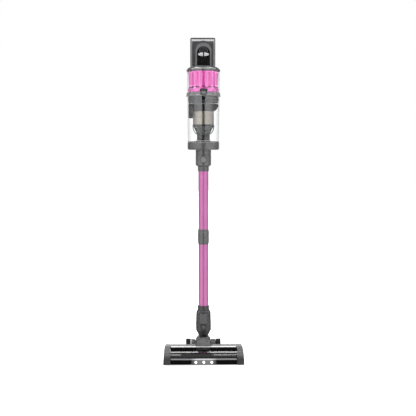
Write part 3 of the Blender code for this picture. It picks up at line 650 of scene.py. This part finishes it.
def coupling():
    """Soft-square sleeve that takes the wand, tapering to the swivel knuckle."""
    shape = [(84.6, 15.3, 15.3, 2.6), (86, 16.2, 15.9, 2.6), (103, 25.0, 25.0, 2.6), (105, 25.5, 25.5, 2.6),
             (124, 25.5, 25.5, 2.5), (126, 25.4, 25.4, 2.5), (150, 24.7, 24.9, 2.4), (161.5, 24.1, 24.3, 2.4),
             (163.4, 23.7, 23.9, 2.3), (168.8, 21.2, 21.3, 2.1), (170, 20.6, 20.6, 2.0),
             (170, 19.5, 19.5, 2.0),
             (168, 19.4, 19.4, 2.0), (128, 19.4, 19.4, 2.0)]
    sections = []
    for z, half_x, half_y, power in shape:
        sections.append([(u * MM, AXIS_Y + v * MM, z * MM) for u, v in ring_points(half_x, half_y, power)])
    loft("coupling_sleeve", sections, DARK, "neck", ["head_coupling"])
    neck = [*mm((15.3, 84.6), (12.2, 80), (9.9, 74)), *mm(*arc((0, 62), (9.8, 9.8), 0, -180, 24)),
            *mm((-9.9, 74), (-12.2, 80), (-15.3, 84.6))]
    slab("coupling_knuckle", neck, "XZ", at(-10.5), at(10.5), CHARCOAL, "neck", "dark_plastic",
         ["head_coupling"], 0.8 * MM)
    panel = mm((-11, 127.4), (11, 127.4), (11, 160.6), (-11, 160.6))
    slab("coupling_panel", rounded(panel, 1.5 * MM), "XZ", at(-25.9), at(-20), KEY, "neck", "dark_plastic",
         ["head_coupling"], 0.5 * MM)
    shield = mm((-10, 125.2), (10, 125.2), (10, 115), (7.2, 108.6), (0, 105.6), (-7.2, 108.6), (-10, 115))
    slab("coupling_key", rounded(shield, 2 * MM), "XZ", at(-26.9), at(-22.7), CHARCOAL, "coupling_release",
         "dark_plastic", ["coupling_button"], 0.7 * MM)
    inset = mm((-5.4, 121), (5.4, 121), (5.4, 115), (3.6, 111.6), (0, 110), (-3.6, 111.6), (-5.4, 115))
    slab("coupling_key_pad", rounded(inset, 1.4 * MM), "XZ", at(-27.3), at(-23.4), KEY, "coupling_release",
         "dark_plastic", ["coupling_button"], 0.3 * MM)


pivot()
coupling()


# ---------------------------------------------------------------- wand

def wand():
    """Two tubes and their three collars."""
    tube = ((16.25, 16.25, 14.75, 14.75), ("lower", 128.4, 417.2), ("upper", 417.5, 685))
    for name, low, high in tube[1:]:
        points = mm(*zip(tube[0], (high, low, low, high)))
        turned(name + "_pipe", points, PINK, name + "_wand", [name + "_tube"], True, 0.3 * MM)
    foot = mm((19.1, 185), (19.1, 171.2), (18.4, 170.6), (18.4, 128.4), (16.35, 128.4), (16.35, 185))
    turned("foot_collar", foot, DARK, "lower_wand", ["bottom_collar"], True, 0.6 * MM)
    joint = mm((17.3, 441), (18.1, 438.6), (18.5, 437.6), (18.5, 433.4), (18.1, 433), (18.1, 432.2),
               (18.5, 431.8),
               (18.5, 396.4), (17.6, 395.6), (17.4, 391), (16.35, 391), (16.35, 441))
    turned("joint_collar", joint, GREY, "upper_wand", ["mid_collar"], True, 0.5 * MM)
    boss = side((15, 402), (21, 402), (24.5, 406), (24.5, 426), (21, 430), (15, 430))
    slab("joint_boss", rounded(boss, 1.2 * MM), "YZ", -8 * MM, 8 * MM, GREY, "upper_wand", "grey_plastic",
         ["mid_collar"], 1.2 * MM)
    key = rounded(mm((-5, 406.5), (5, 406.5), (5, 425.5), (-5, 425.5)), 2.4 * MM)
    slab("joint_key", key, "XZ", at(21.4), at(25.6), DARK, "mid_release", "grey_plastic", ["mid_button"],
         0.7 * MM)
    head = mm((17.4, 686), (18.2, 685), (18.2, 640), (17.6, 634), (16.35, 634), (16.35, 686))
    turned("head_collar", head, MID, "upper_wand", ["top_collar"], True, 0.5 * MM)


wand()


# ---------------------------------------------------------------- dust cup

def cup():
    """Clear cup on its grey base and neck, with the release button."""
    wall = mm((54.2, 879.7), (52, 731.4), (50.6, 730), (24, 730), (24, 732), (49.4, 732), (50.1, 733),
              (52.2, 879.7))
    turned("cup_wall", wall, CLEAR, "cup", ["dust_cup"], True, 0.4 * MM)
    base = mm((51.6, 729.7), (52.5, 728.6), (52.5, 711), (50.6, 706), (48.6, 705), (26.4, 705), (25.5, 704),
              (25.5, 690.2), (24.8, 689.6), (24.8, 688.4), (25.5, 687.8), (25.5, 656), (24.6, 654),
              (19.8, 650),
              (18.7, 650), (18.7, 700), (22.4, 712), (22.4, 729.7))
    turned("cup_foot", base, GREY, "cup", ["cup_base"], True, 0.5 * MM)
    lip = mm((50.6, 729.7), (50.6, 731), (49.2, 731), (49.2, 729.7))
    turned("cup_lip", lip, SEAL, "cup", ["cup_base"], True, 0.2 * MM)
    keep("pipe_seal", SEAL)
    oval = mm(*arc((0, 673), (11, 12), 0, 354, 59))
    slab("neck_key", oval, "XZ", at(-26.6), at(-22.4), CHARCOAL, "neck_release", "grey_plastic",
         ["neck_button"],
         0.8 * MM)
    inner = mm(*arc((0, 673), (9.3, 10.3), 0, 354, 59))
    slab("neck_key_pad", inner, "XZ", at(-27.1), at(-23.0), EDGE, "neck_release", "grey_plastic",
         ["neck_button"],
         0.35 * MM)


def core():
    """Cyclone core inside the cup: collar, barrel, mesh, funnel and wings."""
    collar = mm((50.4, 879.7), (50.4, 864), (49.6, 863.4), (49.6, 857.2), (48.4, 855), (35.5, 855),
                (35.5, 831.3),
                (31, 831.3), (31, 879.7))
    turned("core_drum", collar, CORE, "hand_unit", ["cyclone_core"], True, 0.5 * MM)
    block("core_tab", (-49 * MM, at(-6), 809 * MM), (-35.2 * MM, at(6), 857 * MM), DARK, "hand_unit",
          ["cyclone_core"], 1.0 * MM)
    fin = mm((34, 856), (49.3, 856), (49.3, 849), (47.6, 843.6), (44, 838.6), (39.6, 834.4), (36, 832.2),
             (34, 832))
    slab("core_fin", fin, "XZ", at(-5), at(5), DARK, "hand_unit", "grey_plastic", ["cyclone_core"], 0.9 * MM)
    mesh = mm((35, 831), (35, 788), (33.6, 788), (33.6, 831))
    turned("core_mesh", mesh, SCREEN, "hand_unit", ["mesh_screen"], True, 0.2 * MM)
    funnel = mm((35.8, 787.7), (35.8, 784.6), (33.6, 783.4), (27, 770), (22.8, 760), (21.5, 756), (21.5, 713),
                (19.6, 713), (19.6, 757), (25, 770), (32, 785), (33.4, 787.7))
    turned("core_funnel", funnel, FUNNEL, "hand_unit", ["core_skirt"], True, 0.5 * MM)
    for sign, hand in ((-1, "left"), (1, "right")):
        outer = [(sign * (20 + u), v) for u, v in arc((0, 785), (15.6, 29), 0, -84, 20)]
        inner = [(sign * (20 + u), v) for u, v in arc((0, 785), (12.9, 26.2), -84, 0, 20)]
        slab("core_wing_" + hand, mm(*outer, *inner), "XZ", at(-12), at(12), KEY, "hand_unit", "grey_plastic",
             ["core_skirt"], 0.3 * MM)


cup()
core()


# ---------------------------------------------------------------- hand unit

UNIT = "hand_unit"
CONES = 14


def cyclones():
    """Ring of tapered cyclone tubes between two plates, with the filter inside."""
    top = mm((49.0, 965.4), (50, 964.4), (50, 958.6), (48.6, 957.4), (33, 957.4), (33, 965.4))
    turned("cyclone_rim", top, PACK, UNIT, ["cyclone_pack"], True, 0.5 * MM)
    flange = mm((43, 909.4), (48.4, 908.4), (50.7, 905.6), (50.7, 895), (49.8, 893.4), (33, 893.4),
                (33, 909.4))
    turned("cyclone_flange", flange, PACK, UNIT, ["cyclone_pack"], True, 0.6 * MM)
    drum = mm((41.8, 958), (40.6, 909), (33, 909), (33, 958))
    turned("cyclone_drum", drum, PACK, UNIT, ["cyclone_pack"], True, 0.3 * MM)
    cone = mm((0, 957.6), (8.9, 957.6), (8.7, 952), (7.0, 916), (5.8, 912.6), (5.8, 908), (0, 908))
    for i in range(CONES):
        a = math.tau * (i + 0.5) / CONES - math.pi / 2
        spot = (40.6 * MM * math.cos(a), AXIS_Y + 40.6 * MM * math.sin(a), 0)
        turned(f"cyclone_tube_{i:02d}", cone, PACK, UNIT, ["cyclone_pack"], False, 0.6 * MM,
               spot, segments=32)
        # Small dark bumps set in the gaps between the cone feet, darker than the pack.
        gap_bump = mm((0, 911.8), (2.6, 911.8), (3.2, 909.6), (3.2, 908), (0, 908))
        b = a + math.pi / CONES
        gap = (45.8 * MM * math.cos(b), AXIS_Y + 45.8 * MM * math.sin(b), 0)
        turned(f"cyclone_gap_bump_{i:02d}", gap_bump, CHARCOAL, UNIT, ["cyclone_pack"], False,
               0.3 * MM,
               gap, segments=24)
    keep("filter", FILTER)
    shell = mm((54.5, 965.7), (54.5, 892.7), (52.8, 892.7), (52.8, 965.7))
    turned("shroud_wall", shell, CLEAR, UNIT, ["clear_shroud"], True, 0.3 * MM)


def collar():
    """Grey ring above the cup with the latch that frees it."""
    ring = mm((54.9, 892.4), (55.6, 891), (56.1, 885), (57, 883), (57, 881), (56.4, 880.2), (50.9, 880.2),
              (50.9, 892.4))
    turned("ring_band", ring, LIGHT, UNIT, ["ring_collar"], True, 0.5 * MM)
    plate = mm((-9.6, 884), (9.6, 884), (10.4, 893), (13, 896.4), (13, 900.4), (10, 903), (-10, 903),
               (-13, 900.4),
               (-13, 896.4), (-10.4, 893))
    slab("latch_key", rounded(plate, 1.2 * MM), "XZ", at(-58.2), at(-55.2), DARK, "latch", "dark_plastic",
         ["cup_latch"], 0.8 * MM)
    pad = mm((-6.4, 886), (6.4, 886), (7.4, 894.6), (-7.4, 894.6))
    slab("latch_pad", rounded(pad, 1.0 * MM), "XZ", at(-58.5), at(-57.4), LIGHT, "latch", "dark_plastic",
         ["cup_latch"], 0.3 * MM)


def shoulder():
    """Domed cap above the cyclones."""
    dome = mm((22, 978), (36, 978), (43, 977.2), (49.6, 974.2), (54, 970), (55.6, 967.4), (55.6, 962.4),
              (54.8, 961.8), (54.8, 966.2), (22, 966.2))
    turned("shoulder_dome", dome, GREY, UNIT, ["shoulder_cap"], True, 0.6 * MM)


def housing():
    """Arched motor body, raised rim, gloss panel, grille and badge."""
    outline = arch(26 * MM, 978.3 * MM, 1061 * MM, 48)
    slab("motor_body", outline, "XZ", at(-27.2), at(40), DUSK, UNIT, "grey_plastic", ["motor_housing"],
         1.6 * MM)
    opening = arch(21.3 * MM, 979.9 * MM, 1042.3 * MM, 40)
    slab("motor_rim", arch(25.6 * MM, 978.4 * MM, 1054 * MM, 48), "XZ", at(-30), at(-26.6), KEY, UNIT,
         "grey_plastic", ["motor_housing"], 0.9 * MM, [opening])
    slab("gloss_face", arch(21 * MM, 980.2 * MM, 1042 * MM, 40), "XZ", at(-29.6), at(-27.3), BLACK, UNIT,
         "black_gloss", ["front_panel"], 0.4 * MM)
    slab("grille_frame", arch(15 * MM, 1024.4 * MM, 1040.4 * MM, 36), "XZ", at(-31.4), at(-29.9), CHARCOAL,
         UNIT,
         "dark_plastic", ["air_grille"], 0.5 * MM, [arch(12.4 * MM, 1026 * MM, 1038.6 * MM, 30)])
    for i in range(5):
        z = 1027.3 + 2.5 * i
        half = math.sqrt(max(1, 12.6 ** 2 - max(0, z - 1026.2) ** 2))
        block(f"grille_bar_{i}", (-half * MM, at(-31.1), (z - 0.55) * MM),
              (half * MM, at(-29.9), (z + 0.55) * MM),
              DARK, UNIT, ["air_grille"], 0.25 * MM)
    sections = []
    for depth, scale in ((29.9, 1.0), (30.3, 1.0), (30.8, 0.95), (31.15, 0.8), (31.34, 0.55), (31.4, 0.25)):
        ring = ring_points(18 * MM * scale, 6 * MM * scale, 2.0, 64)
        sections.append([(u, at(-depth), 1016 * MM + v) for u, v in ring])
    loft("badge_dome", sections, SILVER, UNIT, ["badge"])
    block("badge_bar", (-1.9 * MM, at(-31.6), 1010.2 * MM), (1.9 * MM, at(-30.6), 1021.8 * MM), BLACK, UNIT,
          ["badge"], 0.3 * MM)
    for node, material in (("suction_motor", MOTOR), ("impeller", MOTOR), ("control_board", BOARD)):
        keep(node, material)


def grip():
    """Contoured grip with trigger and thumb button."""
    spine = ((40.3, 15.6, 16, 1030), (46, 15.8, 16, 1030.4), (58, 14.6, 15, 1032), (72, 15.4, 15.4, 1034.4),
             (84, 15.9, 15.9, 1035), (98, 15.4, 15.6, 1034.6), (112, 14.8, 15.2, 1032.4),
             (121, 15.6, 16, 1030.6),
             (127.7, 16, 16, 1030))
    sections = []
    for y, half_x, half_z, z in spine:
        sections.append([(u * MM, at(y), (z + v) * MM) for u, v in ring_points(half_x, half_z, 2.3, 64)])
    piece = loft("grip_body", sections, CHARCOAL, UNIT, ["handle_grip"])
    smooth = piece.modifiers.new("smooth", "SUBSURF")
    smooth.levels = smooth.render_levels = 1
    piece.modifiers.move(len(piece.modifiers) - 1, 0)
    for i in range(6):
        y = 78 + 6.4 * i
        centre = 1034.7 - 0.0035 * (y - 90) ** 2
        turned(f"grip_ring_{i}", mm((15.95, 0.7), (16.25, 0), (15.95, -0.7), (14, -0.7), (14, 0.7)), RUBBER,
               UNIT,
               ["handle_grip"], True, 0.2 * MM, (0, at(y), centre * MM), (90, 0, 0), 64)
    finger = side((48, 1018), (68, 1018), (66.6, 1013), (61, 1009.8), (55, 1009), (50.4, 1007), (48, 1008.4))
    slab("trigger_lever", rounded(finger, 2 * MM), "YZ", -6 * MM, 6 * MM, GREY, "suction_trigger",
         "grey_plastic",
         ["trigger"], 1.0 * MM)
    key = mm((0, 1050.6), (3.4, 1050.2), (5.4, 1049.2), (6, 1047.6), (6, 1045.6), (0, 1045.6))
    turned("power_cap", key, GREY, "power_key", ["power_button"], False, 0.4 * MM,
           (0, at(58), 0), segments=48)


def pack_end():
    """Upright at the back of the grip and the battery behind it."""
    face = rounded(mm((-43, 972), (43, 972), (43, 1090), (-43, 1090)), 6 * MM, steps=8)
    slab("rear_upright", face, "XZ", at(128.6), at(142), DUSK, UNIT, "grey_plastic", ["handle_base"],
         2.0 * MM)
    rim = rounded(mm((-41, 974), (41, 974), (41, 1085.8), (-41, 1085.8)), 4.0 * MM, steps=8)
    well = rounded(mm((-36.8, 976), (36.8, 976), (36.8, 1077.6), (-36.8, 1077.6)), 2.5 * MM, steps=8)
    slab("rear_frame", rim, "XZ", at(128), at(130.4), EDGE, UNIT, "grey_plastic", ["handle_base"], 0.9 * MM,
         [well])
    # Painted highlight: a pale band across the top of the upright's face stands in for light caught along its
    # upper edge.
    strip = rounded(mm((-38.6, 1078.6), (38.6, 1078.6), (38.6, 1084.4), (-38.6, 1084.4)), 1.6 * MM)
    slab("rear_painted_highlight", strip, "XZ", at(127.7), at(130), HIGHLIGHT_STRIP, UNIT, "light_plastic", ["handle_base"],
         0.5 * MM)
    inner = rounded(mm((-36.2, 976.6), (36.2, 976.6), (36.2, 1077), (-36.2, 1077)), 2.5 * MM)
    slab("rear_face", inner, "XZ", at(128.4), at(130), DUSK, UNIT, "grey_plastic", ["handle_base"], 0.4 * MM)
    case = rounded(mm((-42.4, 973), (42.4, 973), (42.4, 1088.5), (-42.4, 1088.5)), 7 * MM, steps=8)
    slab("battery_front", case, "XZ", at(142.3), at(156.6), CHARCOAL, "battery", "dark_plastic",
         ["battery_pack"],
         1.2 * MM)
    slab("battery_rear", case, "XZ", at(157.0), at(171.5), DARK, "battery", "dark_plastic", ["battery_pack"],
         2.6 * MM)
    label = rounded(mm((-30, 988), (30, 988), (30, 1073), (-30, 1073)), 4 * MM)
    slab("battery_inlay", label, "XZ", at(171.2), at(172), CHARCOAL, "battery", "dark_plastic",
         ["battery_pack"],
         0.3 * MM)
    keep("battery_button", GREY, 0.8 * MM)


cyclones()
collar()
shoulder()
housing()
grip()
pack_end()


# ---------------------------------------------------------------- floor, light and camera

def white_floor():
    """Plain pale floor that runs out of view."""
    material = bpy.data.materials.new("pale_floor")
    material.use_nodes = True
    tree, shader = tree_of(material)
    coords = tree.nodes.new("ShaderNodeTexCoord")
    cloud = noise_node(tree, coords, 2.0, 2.0)
    tint = mix_node(tree, cloud, (0.93, 0.93, 0.93, 1), (0.95, 0.95, 0.95, 1))
    tree.links.new(tint.outputs[2], shader.inputs["Base Color"])
    shader.inputs["Roughness"].default_value = 0.9
    shader.inputs["Emission Color"].default_value = (1, 1, 1, 1)
    shader.inputs["Emission Strength"].default_value = 0.5
    form = bmesh.new()
    bmesh.ops.create_grid(form, x_segments=1, y_segments=1, size=14)
    mesh = bpy.data.meshes.new("studio_floor")
    form.to_mesh(mesh)
    form.free()
    mesh.materials.append(material)
    floor = bpy.data.objects.new("studio_floor", mesh)
    bpy.context.scene.collection.objects.link(floor)
    floor.visible_glossy = False


SKY = ((0, 0.03), (10, 0.03), (15, 1.15), (58, 1.15), (82, 0.85), (112, 0.5), (132, 0.24), (150, 0.3),
       (158, 1.05), (180, 1.05))
ROOF = ((0, 0.5), (60, 0.8), (88, 0.8), (99, 0.10), (104, 8.0),
        (112, 8.0), (117, 0.05), (156, 0.05), (166, 0.7), (180, 0.7))


def ramp_node(tree, source, out, stops):
    """Grey levels along an angle in radians, from (degrees, level) stops up to 180."""
    share = span_node(tree, source, out, 0, math.pi, 0, 1)
    ramp = tree.nodes.new("ShaderNodeValToRGB")
    elements = ramp.color_ramp.elements
    elements[0].position, elements[1].position = 0, 1
    for degrees, value in stops[1:-1]:
        elements.new(degrees / 180)
    for element, (degrees, value) in zip(elements, stops):
        element.color = (value, value, value, 1)
    link(tree, share, "Result", ramp, "Fac")
    return ramp


def angle_node(tree, split, across, reverse):
    """Unsigned angle in radians between the front and a direction's part across it."""
    bearing = tree.nodes.new("ShaderNodeMath")
    bearing.operation = "ARCTAN2"
    tree.links.new(split.outputs[across], bearing.inputs[0])
    tree.links.new(reverse.outputs[0], bearing.inputs[1])
    turn = tree.nodes.new("ShaderNodeMath")
    turn.operation = "ABSOLUTE"
    link(tree, bearing, "Value", turn, "Value")
    return turn


def studio_world():
    """Soft boxes painted on the world: upright ones by bearing, overhead ones by height; white where seen."""
    world = bpy.data.worlds.new("studio")
    bpy.context.scene.world = world
    world.use_nodes = True
    tree = world.node_tree
    coords = tree.nodes.new("ShaderNodeTexCoord")
    split = tree.nodes.new("ShaderNodeSeparateXYZ")
    link(tree, coords, "Generated", split, "Vector")
    front = tree.nodes.new("ShaderNodeMath")
    front.operation = "MULTIPLY"
    front.inputs[1].default_value = -1
    tree.links.new(split.outputs["Y"], front.inputs[0])
    walls = ramp_node(tree, angle_node(tree, split, "X", front), "Value", SKY)
    roof = ramp_node(tree, angle_node(tree, split, "Z", front), "Value", ROOF)
    lighting = mix_node(tree, span_node(tree, split, "Z", 0.3, 0.5, 0, 1), walls, roof)
    path = tree.nodes.new("ShaderNodeLightPath")
    seen = mix_node(tree, path, lighting, (1, 1, 1, 1))
    tree.links.new(seen.outputs[2], tree.nodes["Background"].inputs["Color"])


def soft_light(name, location, aim, size, power, shown=False):
    lamp = bpy.data.lights.new(name, "AREA")
    lamp.shape = "RECTANGLE"
    lamp.size, lamp.size_y = size
    lamp.energy = power
    holder = bpy.data.objects.new(name, lamp)
    holder.location = location
    holder.rotation_euler = (Vector(aim) - Vector(location)).to_track_quat("-Z", "Y").to_euler()
    bpy.context.scene.collection.objects.link(holder)
    holder.visible_glossy = shown
    holder.visible_transmission = holder.visible_camera = False


CAMERA = (-45 * MM, AXIS_Y - 3.0, 690 * MM)
LENS = 78.1
PITCH = -3.40
YAW = -1.152


def camera():
    """Long lens in front of the wand, tipped slightly down."""
    lens = bpy.data.cameras.new("camera")
    lens.sensor_width = 36
    lens.lens = LENS
    holder = bpy.data.objects.new("camera", lens)
    holder.location = CAMERA
    holder.rotation_euler = (math.radians(90 + PITCH), 0, math.radians(YAW))
    bpy.context.scene.collection.objects.link(holder)
    bpy.context.scene.camera = holder


white_floor()
studio_world()
soft_light("left_box", (-1.6, -2.2, 1.5), (0, -0.05, 0.5), (0.7, 2.0), 15)
soft_light("right_box", (1.6, -2.2, 1.5), (0, -0.05, 0.5), (0.7, 2.0), 15)
soft_light("left_panel", (-0.40, -0.52, 1.6), (-0.40, -0.1, 0.04), (0.62, 0.5), 4.5, True)
soft_light("right_panel", (0.38, -0.52, 1.6), (0.38, -0.1, 0.04), (0.62, 0.5), 4.5, True)
soft_light("top_box", (0, -0.7, 2.4), (0, -0.05, 0.05), (1.4, 1.0), 6)
camera()
bpy.context.scene.view_settings.view_transform = "Standard"
